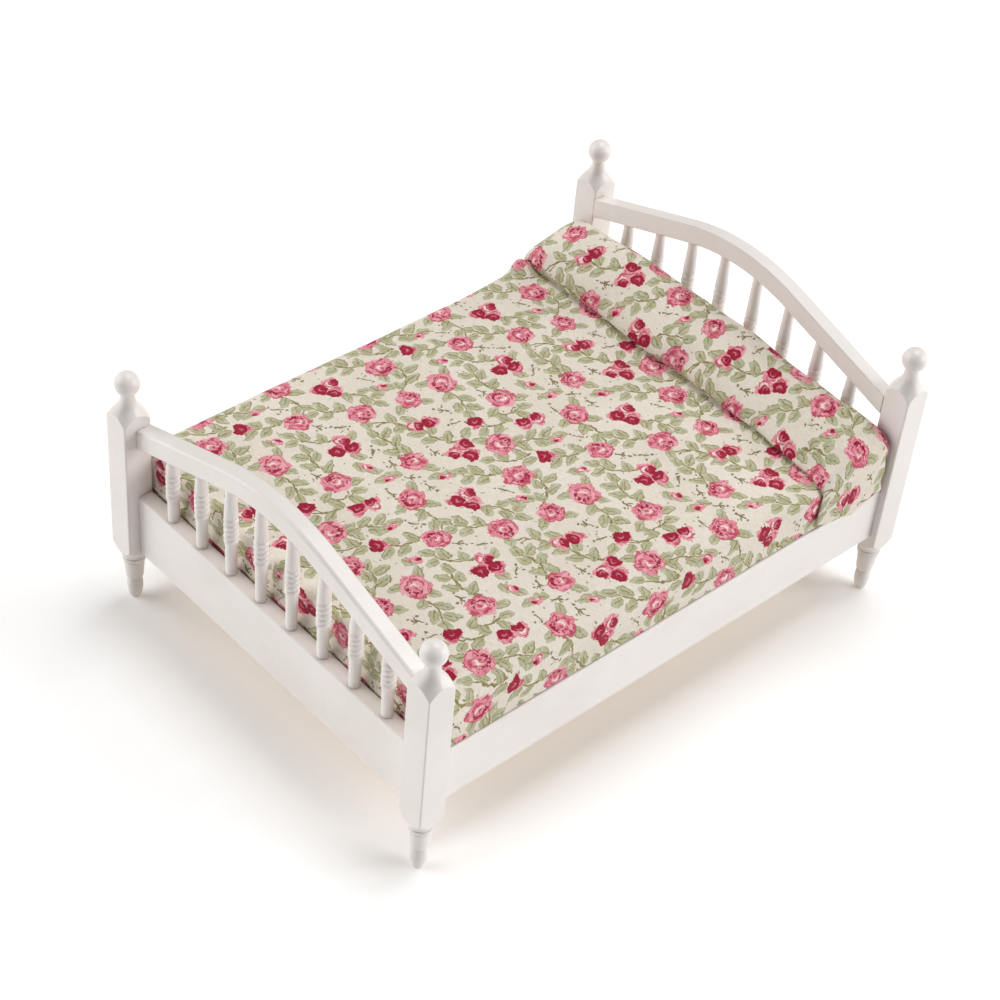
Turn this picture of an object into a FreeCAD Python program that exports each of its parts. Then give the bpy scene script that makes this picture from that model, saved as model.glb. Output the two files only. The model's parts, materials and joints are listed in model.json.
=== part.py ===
"""Doll's-house double bed at 1:12: four low turned posts, arched spindle boards, lift-out bedding.

Frame: millimetres, origin on the ground at the centre of the footprint, +Z up,
+Y towards the headboard, +X towards the right-hand side seen from the foot.
Every physical piece is one node; each node is written to parts/NODE.step.
"""
import FreeCAD, Part
import math
import os

Vec = FreeCAD.Vector

# ---- driving dimensions -------------------------------------------------
POST_PITCH_X = 122.0          # between post centres across the bed
POST_PITCH_Y = 166.8          # between post centres along the bed
POST_SIDE = 8.2               # square stock of the posts
POST_EDGE_ROUND = 0.35
FOOT_POST_HEIGHT = 78.5
HEAD_POST_HEIGHT = 86.4

FOOT_TIP_RADIUS = 1.3         # turned leg, radii and heights from the ground up
BULB_RADIUS, BULB_HEIGHT = 2.25, 4.2
GROOVE_RADIUS, GROOVE_HEIGHT = 1.85, 7.2
LEG_LOW_RADIUS, LEG_LOW_HEIGHT = 2.45, 8.0
LEG_HIGH_RADIUS, LEG_HIGH_HEIGHT = 2.95, 13.7
COLLAR_RADIUS, COLLAR_LOW, COLLAR_HIGH = 3.3, 14.4, 17.0
COLLAR_GROOVE = 0.22           # depth of the line round the middle of the collar
SQUARE_LOW = 20.2             # height where the square's corners are whole

BALL_RADIUS = 3.45            # finial, depths below the top of the ball
NECK_RADIUS, NECK_DEPTH = 1.95, 7.6
COVE_RADIUS, COVE_DEPTH = 2.75, 10.4
SHOULDER_DEPTH = 14.4         # depth where the square's corners are whole

BOARD_THICKNESS = 4.64        # lower rails and arch rails of both boards
BOARD_RAIL_LOW, BOARD_RAIL_HIGH = 18.9, 39.1
RAIL_EDGE_ROUND = 0.4
TENON_LENGTH, TENON_THICKNESS = 3.2, 2.4
RAIL_TENON_LOW, RAIL_TENON_HIGH = 22.0, 36.0
ARCH_TENON_HEIGHT = 3.2

ARCH_RADIUS = 66.0            # round crown of the arch rails' top edge
ARCH_SLOPE = 0.33             # fall of the straight sides
ARCH_DEPTH = 5.6              # across the grain of the rail
ARCH_OUTER_ROUND = 1.0        # rounded outer top edge
FOOT_ARCH_PEAK = 77.3
HEAD_ARCH_PEAK = 84.9

SPINDLE_PITCH = 12.6
SPINDLE_SOCKET = 2.5          # let into each rail
SHANK_RADIUS = 1.5            # plain lower end
SHANK_TOP_RADIUS = 1.65
BEAD_RADIUS, BEAD_GROOVE_RADIUS, BEAD_PITCH, BEAD_COUNT = 1.98, 1.6, 1.7, 5
VASE_RADIUS = 1.9
SPINDLE_TOP_RADIUS = 1.42
FOOT_BEAD_HEIGHTS = [11.7, 14.1, 14.8, 16.4, 16.2, 14.7, 14.3, 14.1]   # hand-set, above the ledge
HEAD_BEAD_HEIGHTS = [16.2, 18.7, 21.3, 22.7, 20.9, 20.3, 18.9, 16.7]

SIDE_RAIL_LOW, SIDE_RAIL_HIGH = 22.7, 40.0
SIDE_RAIL_THICKNESS = 3.6
SIDE_RAIL_RECESS = 2.05       # outer face inside the posts' outer faces
DOWEL_RADIUS, DOWEL_HALF_LENGTH = 0.9, 4.2
DOWEL_HEIGHTS = [27.0, 35.5]

PANEL_TOP, PANEL_THICKNESS = 30.0, 2.0
PANEL_GAP = 0.15
LEDGER_SIDE = 4.0
LEDGER_HALF_LENGTH = 74.0

SOFT_GAP = 0.3                # between bedding and whatever is beside it
MATTRESS_HALF_LENGTH = 78.7
MATTRESS_TOP = 52.6
MATTRESS_HALF_WIDTH = 62.1    # above the side rails, which it overhangs
COVER_THICKNESS = 0.7
SOFT_EDGE_ROUND = 2.4

PILLOW_FRONT = 54.8           # y of the lip
PILLOW_BACK = 78.6
PILLOW_CREST = 64.6
PILLOW_HALF_WIDTH = 62.7
FLAP_THICKNESS = 0.7          # the cover's ends, which hang over the mattress's sides
FLAP_LOW = 41.2
FLAP_BACK = 77.0

# ---- worked out from them ----------------------------------------------
POST_X = POST_PITCH_X / 2
POST_Y = POST_PITCH_Y / 2
INNER_X = POST_X - POST_SIDE / 2           # posts' inner faces
INNER_Y = POST_Y - POST_SIDE / 2
BOARD_Y = INNER_Y + BOARD_THICKNESS / 2    # middle plane of the boards
SIDE_RAIL_OUTER = POST_X + POST_SIDE / 2 - SIDE_RAIL_RECESS
SIDE_RAIL_INNER = SIDE_RAIL_OUTER - SIDE_RAIL_THICKNESS
SIDE_RAIL_X = (SIDE_RAIL_OUTER + SIDE_RAIL_INNER) / 2
SPINDLE_X = [SPINDLE_PITCH * (i - 3.5) for i in range(8)]
SIGNS = {"left": -1, "right": 1}
ARCH_ANGLE = math.atan(ARCH_SLOPE)


def box(x0, x1, y0, y1, z0, z1):
    """A box from its lowest to its highest corner, given in any order."""
    low = Vec(min(x0, x1), min(y0, y1), min(z0, z1))
    return Part.makeBox(abs(x1 - x0), abs(y1 - y0), abs(z1 - z0), low)


def round_edges(shape, radius, chosen):
    """Round the edges of a shape whose middle point passes a test."""
    edges = [e for e in shape.Edges if chosen(e.valueAt((e.FirstParameter + e.LastParameter) / 2))]
    return shape.makeFillet(radius, edges)


def turned(outline):
    """Solid of revolution about Z from edges that run in the XZ plane and start and end on Z."""
    face = Part.Face(Part.Wire(outline))
    return face.revolve(Vec(0, 0, 0), Vec(0, 0, 1), 360)


def polyline(points):
    """Straight edges through (radius, height) points."""
    ends = [Vec(r, 0, z) for r, z in points]
    return [Part.makeLine(a, b) for a, b in zip(ends, ends[1:])]


def arc(start, middle, end):
    """Arc edge through three (radius, height) points."""
    return Part.Arc(*[Vec(r, 0, z) for r, z in (start, middle, end)]).toShape()


# ---- posts ----------------------------------------------------------------
def post(height):
    """One post: turned leg, square body and ball finial, all from one square stick."""
    corner = POST_SIDE / math.sqrt(2)
    wide = corner + 1.0
    cone = (wide - corner)
    ball_centre = height - BALL_RADIUS
    neck = (NECK_RADIUS, height - NECK_DEPTH)
    cove = (COVE_RADIUS, height - COVE_DEPTH)
    ball_end = (NECK_RADIUS, ball_centre - math.sqrt(BALL_RADIUS ** 2 - NECK_RADIUS ** 2))
    bulb_top = (GROOVE_RADIUS + 0.2, GROOVE_HEIGHT - 0.5)
    collar_middle = (COLLAR_LOW + COLLAR_HIGH) / 2
    outline = polyline([(0, 0), (FOOT_TIP_RADIUS, 0)])
    outline.append(arc((FOOT_TIP_RADIUS, 0), (BULB_RADIUS, BULB_HEIGHT), bulb_top))
    outline += polyline([
        bulb_top,
        (GROOVE_RADIUS, GROOVE_HEIGHT),
        (LEG_LOW_RADIUS, LEG_LOW_HEIGHT),
        (LEG_HIGH_RADIUS, LEG_HIGH_HEIGHT),
        (LEG_HIGH_RADIUS - 0.2, (LEG_HIGH_HEIGHT + COLLAR_LOW) / 2),
        (COLLAR_RADIUS, COLLAR_LOW),
        (COLLAR_RADIUS, collar_middle - COLLAR_GROOVE),
        (COLLAR_RADIUS - COLLAR_GROOVE, collar_middle),
        (COLLAR_RADIUS, collar_middle + COLLAR_GROOVE),
        (COLLAR_RADIUS, COLLAR_HIGH),
        (corner, SQUARE_LOW),
        (wide, SQUARE_LOW + cone),
        (wide, height - SHOULDER_DEPTH - cone),
        (corner, height - SHOULDER_DEPTH),
        cove,
    ])
    cove_middle = (NECK_RADIUS + 0.22, (neck[1] + cove[1]) / 2 + 0.1)
    outline.append(arc(cove, cove_middle, neck))
    outline += polyline([neck, ball_end])
    outline.append(arc(ball_end, (BALL_RADIUS, ball_centre), (0, height)))
    outline += polyline([(0, height), (0, 0)])
    half = POST_SIDE / 2
    stick = box(-half, half, -half, half, 0, height)
    stick = round_edges(stick, POST_EDGE_ROUND, lambda p: abs(p.x) > half - 0.01 and abs(p.y) > half - 0.01)
    return turned(outline).common(stick)


def dowels():
    """All the dowels that join the side rails to the posts, as separate solids."""
    pins = []
    for x in (-SIDE_RAIL_X, SIDE_RAIL_X):
        for y in (-INNER_Y, INNER_Y):
            for z in DOWEL_HEIGHTS:
                start = Vec(x, y - DOWEL_HALF_LENGTH, z)
                pins.append(Part.makeCylinder(DOWEL_RADIUS, 2 * DOWEL_HALF_LENGTH, start, Vec(0, 1, 0)))
    return pins


# ---- boards ----------------------------------------------------------------
def arch_top(x, peak):
    """Height of an arch rail's top edge at x."""
    crown = ARCH_RADIUS * math.sin(ARCH_ANGLE)
    if abs(x) <= crown:
        return peak - ARCH_RADIUS + math.sqrt(ARCH_RADIUS ** 2 - x * x)
    return peak - ARCH_RADIUS * (1 - math.cos(ARCH_ANGLE)) - ARCH_SLOPE * (abs(x) - crown)


def arch_underside(x, peak):
    """Height of an arch rail's lower edge at x, a constant depth square to the top edge."""
    inner_radius = ARCH_RADIUS - ARCH_DEPTH
    crown = inner_radius * math.sin(ARCH_ANGLE)
    centre = peak - ARCH_RADIUS
    if abs(x) <= crown:
        return centre + math.sqrt(inner_radius ** 2 - x * x)
    return centre + inner_radius * math.cos(ARCH_ANGLE) - ARCH_SLOPE * (abs(x) - crown)


def arch_blank(peak, half_span, y0, y1):
    """The bent rail between two planes of y, with its ends cut upright at half_span."""
    def edge_run(height, radius, sign):
        crown = radius * math.sin(ARCH_ANGLE)
        points = [Vec(sign * x, y0, height(x, peak)) for x in (-half_span, -crown, 0, crown, half_span)]
        crown_arc = Part.Arc(points[1], points[2], points[3]).toShape()
        return [Part.makeLine(points[0], points[1]), crown_arc, Part.makeLine(points[3], points[4])]
    top = edge_run(arch_top, ARCH_RADIUS, 1)
    under = edge_run(arch_underside, ARCH_RADIUS - ARCH_DEPTH, -1)
    ends = []
    for x in (half_span, -half_span):
        ends.append(Part.makeLine(Vec(x, y0, arch_top(x, peak)), Vec(x, y0, arch_underside(x, peak))))
    outline = top + [ends[0]] + under + [ends[1]]
    return Part.Face(Part.Wire(outline)).extrude(Vec(0, y1 - y0, 0))


def tenons(y_middle, z0, z1):
    """The pair of tenons that a rail has on its ends."""
    half = TENON_THICKNESS / 2
    reach = INNER_X + TENON_LENGTH
    return [box(s * INNER_X, s * reach, y_middle - half, y_middle + half, z0, z1) for s in (-1, 1)]


def arch_tenon_heights(peak):
    """Lowest and highest z of an arch rail's tenons."""
    middle = (arch_top(INNER_X, peak) + arch_underside(INNER_X, peak)) / 2
    return middle - ARCH_TENON_HEIGHT / 2, middle + ARCH_TENON_HEIGHT / 2


def arch_rail(peak, y_middle, outward):
    """Bent top rail of a board; outward is the sign of y on its outer side."""
    inner_face = y_middle - outward * BOARD_THICKNESS / 2
    outer_face = y_middle + outward * BOARD_THICKNESS / 2
    rail = arch_blank(peak, INNER_X, inner_face, outer_face)

    def outer_top(p):
        return abs(p.y - outer_face) < 0.01 and abs(p.z - arch_top(p.x, peak)) < 0.3 and abs(p.x) < INNER_X - 1
    rail = round_edges(rail, ARCH_OUTER_ROUND, outer_top)
    return rail.fuse(tenons(y_middle, *arch_tenon_heights(peak)))


def lower_rail(y_middle):
    """Straight lower rail of a board with its tenons."""
    half = BOARD_THICKNESS / 2
    rail = box(-INNER_X, INNER_X, y_middle - half, y_middle + half, BOARD_RAIL_LOW, BOARD_RAIL_HIGH)
    rail = round_edges(rail, RAIL_EDGE_ROUND, lambda p: abs(p.x) < 0.01)
    return rail.fuse(tenons(y_middle, RAIL_TENON_LOW, RAIL_TENON_HIGH))


def spindle(bead_height, clear_length):
    """Turned spindle standing on z = 0, with its ends running into both sockets."""
    groove_low = bead_height - BEAD_PITCH * BEAD_COUNT / 2
    groove_high = groove_low + BEAD_PITCH * BEAD_COUNT
    outline = polyline([
        (0, -SPINDLE_SOCKET),
        (SHANK_RADIUS, -SPINDLE_SOCKET),
        (SHANK_RADIUS, 0),
        (SHANK_TOP_RADIUS, groove_low - 0.5),
        (BEAD_GROOVE_RADIUS, groove_low),
    ])
    for i in range(BEAD_COUNT):
        z = groove_low + i * BEAD_PITCH
        start = (BEAD_GROOVE_RADIUS, z)
        outline.append(arc(start, (BEAD_RADIUS, z + BEAD_PITCH / 2), (BEAD_GROOVE_RADIUS, z + BEAD_PITCH)))
    outline += polyline([
        (BEAD_GROOVE_RADIUS, groove_high),
        (VASE_RADIUS, groove_high + 0.7),
        (SPINDLE_TOP_RADIUS, clear_length - 0.6),
        (SPINDLE_TOP_RADIUS, clear_length + SPINDLE_SOCKET),
        (0, clear_length + SPINDLE_SOCKET),
        (0, -SPINDLE_SOCKET),
    ])
    return turned(outline)


def board(name, y_sign, peak, bead_heights):
    """A whole headboard or footboard without its posts: two rails and eight spindles."""
    y_middle = y_sign * BOARD_Y
    low = lower_rail(y_middle)
    arch = arch_rail(peak, y_middle, y_sign)
    nodes = {}
    for number, (x, bead_height) in enumerate(zip(SPINDLE_X, bead_heights), start=1):
        clear_length = arch_underside(x, peak) - BOARD_RAIL_HIGH
        piece = spindle(bead_height, clear_length)
        piece.translate(Vec(x, y_middle, BOARD_RAIL_HIGH))
        low = low.cut(piece)
        arch = arch.cut(piece)
        nodes[f"{name}_spindle_{number}"] = piece
    nodes[f"{name}_lower_rail"] = low
    nodes[f"{name}_arch_rail"] = arch
    return nodes


def posts_of(name, y_sign, height, peak):
    """The two posts of one board, with the mortises of its rails and the dowel holes."""
    nodes = {}
    joints = tenons(y_sign * BOARD_Y, RAIL_TENON_LOW, RAIL_TENON_HIGH)
    joints += tenons(y_sign * BOARD_Y, *arch_tenon_heights(peak))
    for side, x_sign in SIGNS.items():
        piece = post(height)
        piece.translate(Vec(x_sign * POST_X, y_sign * POST_Y, 0))
        nodes[f"{name}_post_{side}"] = piece.cut(joints + dowels())
    return nodes


# ---- frame -----------------------------------------------------------------
def side_frame(side, x_sign):
    """A side rail with its dowel holes, and the ledger strip glued inside it."""
    rail = box(x_sign * SIDE_RAIL_INNER, x_sign * SIDE_RAIL_OUTER, -INNER_Y, INNER_Y,
               SIDE_RAIL_LOW, SIDE_RAIL_HIGH)
    rail = round_edges(rail, RAIL_EDGE_ROUND, lambda p: abs(p.y) < 0.01)
    ledger_top = PANEL_TOP - PANEL_THICKNESS
    ledger = box(x_sign * (SIDE_RAIL_INNER - LEDGER_SIDE), x_sign * SIDE_RAIL_INNER,
                 -LEDGER_HALF_LENGTH, LEDGER_HALF_LENGTH, ledger_top - LEDGER_SIDE, ledger_top)
    return {f"side_rail_{side}": rail.cut(dowels()), f"ledger_{side}": ledger}


def base_panel():
    """Thin panel that carries the mattress, resting on the ledgers."""
    half_x = SIDE_RAIL_INNER - PANEL_GAP
    half_y = INNER_Y - PANEL_GAP
    return box(-half_x, half_x, -half_y, half_y, PANEL_TOP - PANEL_THICKNESS, PANEL_TOP)


# ---- bedding ---------------------------------------------------------------
def mattress():
    """Foam slab between the rails, and the cloth wrap that bulges out over the side rails."""
    half_x = SIDE_RAIL_INNER - SOFT_GAP
    half_y = MATTRESS_HALF_LENGTH
    bottom = PANEL_TOP + SOFT_GAP
    waist = SIDE_RAIL_HIGH + SOFT_GAP
    lower = box(-half_x, half_x, -half_y, half_y, bottom, waist + 1)
    upper = box(-MATTRESS_HALF_WIDTH, MATTRESS_HALF_WIDTH, -half_y, half_y, waist, MATTRESS_TOP)
    upper = round_edges(upper, SOFT_EDGE_ROUND, lambda p: p.z > MATTRESS_TOP - 0.01)
    core_x = half_x - COVER_THICKNESS
    core_y = half_y - COVER_THICKNESS
    core = box(-core_x, core_x, -core_y, core_y, bottom + COVER_THICKNESS, MATTRESS_TOP - COVER_THICKNESS)
    return {"mattress_core": core, "mattress_cover": upper.fuse(lower).cut(core)}


def pillow_section(inset):
    """Closed outline of the pillow in the YZ plane at x = 0, shrunk by inset all round."""
    front = PILLOW_FRONT + inset
    back = PILLOW_BACK - inset
    bottom = MATTRESS_TOP + SOFT_GAP + inset
    crest = PILLOW_CREST - inset
    lip_top = bottom + 2.4 - inset
    rise = Vec(0, (front + back) / 2 - 2.0, crest - 3.4)
    crest_start = Vec(0, back - 6.0, crest)
    crest_round = Vec(0, back - 1.4, crest - 1.4)
    back_high = Vec(0, back, crest - 5.0)
    corners = [Vec(0, front, bottom), Vec(0, front, lip_top)]
    return Part.Wire([
        Part.makeLine(corners[0], corners[1]),
        Part.Arc(corners[1], rise, crest_start).toShape(),
        Part.Arc(crest_start, crest_round, back_high).toShape(),
        Part.makeLine(back_high, Vec(0, back, bottom)),
        Part.makeLine(Vec(0, back, bottom), corners[0]),
    ])


def pillow_solid(inset):
    """The pillow's wedge across the bed, shrunk by inset all round."""
    half = PILLOW_HALF_WIDTH - inset
    section = pillow_section(inset)
    section.translate(Vec(-half, 0, 0))
    return Part.Face(section).extrude(Vec(2 * half, 0, 0))


def pillow():
    """Foam wedge, and its cloth cover whose ends hang over the mattress's sides."""
    core = pillow_solid(COVER_THICKNESS)
    cover = pillow_solid(0)
    inner = MATTRESS_HALF_WIDTH + SOFT_GAP
    flap_top = MATTRESS_TOP + SOFT_GAP + 2.0
    flaps = [box(s * inner, s * (inner + FLAP_THICKNESS), PILLOW_FRONT, FLAP_BACK, FLAP_LOW, flap_top)
             for s in (-1, 1)]
    return {"pillow_core": core, "pillow_cover": cover.fuse(flaps).cut(core)}


def build():
    """All nodes of the bed by name."""
    nodes = {}
    nodes.update(posts_of("foot", -1, FOOT_POST_HEIGHT, FOOT_ARCH_PEAK))
    nodes.update(posts_of("head", 1, HEAD_POST_HEIGHT, HEAD_ARCH_PEAK))
    nodes.update(board("foot", -1, FOOT_ARCH_PEAK, FOOT_BEAD_HEIGHTS))
    nodes.update(board("head", 1, HEAD_ARCH_PEAK, HEAD_BEAD_HEIGHTS))
    for side, x_sign in SIGNS.items():
        nodes.update(side_frame(side, x_sign))
    nodes["rail_dowels"] = Part.makeCompound(dowels())
    nodes["base_panel"] = base_panel()
    nodes.update(mattress())
    nodes.update(pillow())
    return nodes


os.makedirs("parts", exist_ok=True)
for node_name, shape in build().items():
    shape.exportStep(f"parts/{node_name}.step")
    print(f"{node_name:22s} solids {len(shape.Solids)}  valid {shape.isValid()}  volume {shape.Volume:9.1f}")
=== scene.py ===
"""Miniature double bed: a painted frame with turned posts and spindles, and printed cotton bedding."""

import json
import math
import random

import bpy
import numpy as np
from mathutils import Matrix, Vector, noise


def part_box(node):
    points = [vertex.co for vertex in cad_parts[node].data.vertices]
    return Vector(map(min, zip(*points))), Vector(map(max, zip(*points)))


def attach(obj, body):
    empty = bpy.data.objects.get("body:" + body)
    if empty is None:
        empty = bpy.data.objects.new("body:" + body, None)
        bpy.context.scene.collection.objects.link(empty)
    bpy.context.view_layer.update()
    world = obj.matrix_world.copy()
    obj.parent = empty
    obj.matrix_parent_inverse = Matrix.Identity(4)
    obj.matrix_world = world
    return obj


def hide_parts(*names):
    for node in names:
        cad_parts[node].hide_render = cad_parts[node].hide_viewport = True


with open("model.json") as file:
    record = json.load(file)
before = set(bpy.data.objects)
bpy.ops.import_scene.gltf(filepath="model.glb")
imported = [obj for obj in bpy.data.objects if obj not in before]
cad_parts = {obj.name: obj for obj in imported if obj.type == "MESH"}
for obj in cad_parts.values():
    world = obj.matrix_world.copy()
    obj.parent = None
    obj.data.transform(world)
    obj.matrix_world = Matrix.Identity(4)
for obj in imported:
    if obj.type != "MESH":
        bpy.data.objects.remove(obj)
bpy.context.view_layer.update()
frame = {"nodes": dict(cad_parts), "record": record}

MM = 0.001
SIM = 10.0  # cloth is simulated at ten times life size, where the solver's defaults suit it
PUFF = 0.30  # how far the simulation raises the mattress's top, in mm, which is taken off again

# ---------------------------------------------------------------- node trees


class Net:
    """Short calls for building a node tree."""

    def __init__(self, tree):
        self.tree = tree

    def add(self, kind, **settings):
        node = self.tree.nodes.new("ShaderNode" + kind)
        for name, value in settings.items():
            setattr(node, name, value)
        return node

    def put(self, socket, value):
        if isinstance(value, bpy.types.NodeSocket):
            self.tree.links.new(value, socket)
        elif value is not None:
            socket.default_value = value

    def math(self, operation, a, b=None, c=None):
        node = self.add("Math", operation=operation)
        for socket, value in zip(node.inputs, (a, b, c)):
            self.put(socket, value)
        return node.outputs[0]

    def times(self, first, *others):
        for other in others:
            first = self.math("MULTIPLY", first, other)
        return first

    def vec(self, operation, a, b=None, c=None, scale=None):
        node = self.add("VectorMath", operation=operation)
        for socket, value in zip(node.inputs, (a, b, c)):
            self.put(socket, value)
        if scale is not None:
            self.put(node.inputs["Scale"], scale)
        return node.outputs["Value" if operation in ("DOT_PRODUCT", "DISTANCE", "LENGTH") else "Vector"]

    def xyz(self, x=0.0, y=0.0, z=0.0):
        node = self.add("CombineXYZ")
        for socket, value in zip(node.inputs, (x, y, z)):
            self.put(socket, value)
        return node.outputs[0]

    def split(self, vector):
        node = self.add("SeparateXYZ")
        self.put(node.inputs[0], vector)
        return node.outputs

    def mix(self, factor, a, b, kind="RGBA", blend="MIX"):
        node = self.add("Mix", data_type=kind)
        if kind == "RGBA":
            node.blend_type = blend
        first = {"FLOAT": 2, "VECTOR": 4, "RGBA": 6}[kind]
        self.put(node.inputs[0], factor)
        self.put(node.inputs[first], a)
        self.put(node.inputs[first + 1], b)
        return node.outputs[{"FLOAT": 0, "VECTOR": 1, "RGBA": 2}[kind]]

    def step(self, value, start, end):
        """0 at start and 1 at end, smoothly; start may be the larger."""
        node = self.add("MapRange", interpolation_type="SMOOTHSTEP")
        low, high = min(start, end), max(start, end)
        rising = end > start
        for socket, v in zip(node.inputs, (value, low, high, 0.0 if rising else 1.0, 1.0 if rising else 0.0)):
            self.put(socket, v)
        return node.outputs[0]

    def span(self, value, low, high, to_low, to_high):
        node = self.add("MapRange")
        for socket, v in zip(node.inputs, (value, low, high, to_low, to_high)):
            self.put(socket, v)
        return node.outputs[0]

    def noise(self, vector, scale, detail=2.0, roughness=0.5, dimensions="3D"):
        node = self.add("TexNoise", noise_dimensions=dimensions)
        self.put(node.inputs["Vector"], vector)
        node.inputs["Scale"].default_value = scale
        node.inputs["Detail"].default_value = detail
        node.inputs["Roughness"].default_value = roughness
        return node.outputs

    def bump(self, height, strength, distance, normal=None):
        node = self.add("Bump")
        node.inputs["Strength"].default_value = strength
        node.inputs["Distance"].default_value = distance
        self.put(node.inputs["Height"], height)
        self.put(node.inputs["Normal"], normal)
        return node.outputs[0]


def srgb(r, g, b):
    """A colour from its 0 to 255 values, as the linear colour that shaders use."""
    def linear(v):
        v /= 255.0
        return v / 12.92 if v <= 0.04045 else ((v + 0.055) / 1.055) ** 2.4
    return (linear(r), linear(g), linear(b), 1.0)


def material(name, **constants):
    """A new material: its net and its Principled shader, with the shader's constant values set."""
    made = bpy.data.materials.new(name)
    made.use_nodes = True
    net = Net(made.node_tree)
    shader = made.node_tree.nodes["Principled BSDF"]
    for socket, value in constants.items():
        shader.inputs[socket.replace("_", " ")].default_value = value
    return made, net, shader


# ---------------------------------------------------------------- wood


def painted_wood():
    """Satin white paint, sprayed over fine-grained wood."""
    made, net, shader = material(
        "white_satin_paint", Specular_IOR_Level=0.45, Coat_Weight=0.12, Coat_Roughness=0.25
    )
    place = net.vec("SCALE", net.add("TexCoord").outputs["Object"], scale=1 / MM)
    cloud = net.noise(place, 0.045, 3.0)[0]
    fine = net.noise(place, 1.1, 3.0, 0.6)[0]
    specks = net.noise(place, 3.4, 2.0, 0.55)[0]

    colour = net.mix(net.step(cloud, 0.35, 0.68), srgb(238, 232, 228), srgb(233, 226, 221))
    colour = net.mix(net.times(net.step(fine, 0.50, 0.78), 0.20), colour, srgb(226, 218, 211))

    # painted shade: a darker line along the sharp edges, most on the posts' upright ones, and painted shade
    # that makes the corners a little darker where the occlusion is low
    bevel = net.add("Bevel", samples=4)
    bevel.inputs["Radius"].default_value = 0.45 * MM
    flat = net.add("NewGeometry").outputs["Normal"]
    edge = net.step(net.vec("DOT_PRODUCT", bevel.outputs[0], flat), 0.995, 0.90)
    upright = net.step(net.math("ABSOLUTE", net.split(bevel.outputs[0])[2]), 0.22, 0.08)
    painted_edge_shade = net.times(edge, net.math("MULTIPLY_ADD", upright, 0.40, 0.22))
    # painted shade: the sharp edges darkened towards grey
    colour = net.mix(painted_edge_shade, colour, srgb(190, 181, 173))
    corner_occlusion = net.add("AmbientOcclusion", samples=5, only_local=False)
    corner_occlusion.inputs["Distance"].default_value = 1.6 * MM
    shade = net.step(corner_occlusion.outputs["AO"], 0.62, 0.15)
    # painted shade: the corners darkened where little light reaches them
    colour = net.mix(net.times(shade, 0.35), colour, srgb(196, 185, 175))
    net.put(shader.inputs["Base Color"], colour)

    net.put(shader.inputs["Roughness"], net.span(fine, 0.3, 0.7, 0.30, 0.44))
    height = net.math("ADD", net.times(fine, 0.7), net.times(specks, 0.3))
    net.put(shader.inputs["Normal"], net.bump(height, 0.22, 0.08 * MM, bevel.outputs[0]))
    return made


def bare_wood():
    """Sanded light timber, its grain running along the bed."""
    made, net, shader = material("bare_timber", Specular_IOR_Level=0.3)
    place = net.vec("SCALE", net.add("TexCoord").outputs["Object"], scale=1 / MM)
    along = net.vec("MULTIPLY", place, (1.0, 0.06, 1.0))
    warp = net.noise(net.vec("SCALE", along, scale=0.12), 1.0, 2.0)[0]
    x, _, z = net.split(along)
    phase = net.math("ADD", net.times(net.math("ADD", x, z), 1.5), net.times(warp, 34.0))
    rings = net.math("SINE", phase)
    fibre = net.noise(net.vec("MULTIPLY", place, (5.0, 0.22, 5.0)), 1.0, 4.0, 0.65)[0]
    colour = net.mix(net.span(rings, -1.0, 1.0, 0.0, 1.0), srgb(222, 194, 150), srgb(198, 163, 116))
    colour = net.mix(net.step(fibre, 0.52, 0.74), colour, srgb(166, 128, 84))
    net.put(shader.inputs["Base Color"], colour)
    net.put(shader.inputs["Roughness"], net.span(fibre, 0.3, 0.7, 0.55, 0.78))
    net.put(shader.inputs["Normal"], net.bump(fibre, 0.35, 0.12 * MM))
    return made


# ---------------------------------------------------------------- the cotton print

REPEAT = 58.0  # the print repeats every 58 mm each way
CREAM, SHADED_CREAM = srgb(237, 230, 219), srgb(232, 224, 212)
PINK, PALE, ROSE, BLUSH = srgb(230, 142, 160), srgb(240, 172, 184), srgb(196, 76, 102), srgb(250, 234, 226)
CRIMSON, LIGHT_CRIMSON = srgb(160, 22, 54), srgb(188, 46, 80)
SAGE, MOSS, GREY = srgb(198, 200, 174), srgb(180, 180, 140), srgb(190, 194, 170)
OLIVE, TWIG = srgb(134, 124, 62), srgb(116, 104, 44)
STEM, LIGHT_STEM = srgb(126, 112, 50), srgb(152, 142, 84)

# the leaves on a stem: (along it, out from it, turn)
STEM_LEAVES = [(-2.8, 1.9, 0.9), (0.4, -2.0, -0.8), (2.4, 2.0, 0.6), (6.4, -0.7, -0.1), (4.6, -2.9, -0.9)]


def spot_gap(a, b):
    """Distance between two places in the repeat, which joins up with itself on all sides."""
    dx = (a[0] - b[0] + REPEAT / 2) % REPEAT - REPEAT / 2
    dy = (a[1] - b[1] + REPEAT / 2) % REPEAT - REPEAT / 2
    return math.hypot(dx, dy)


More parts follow.
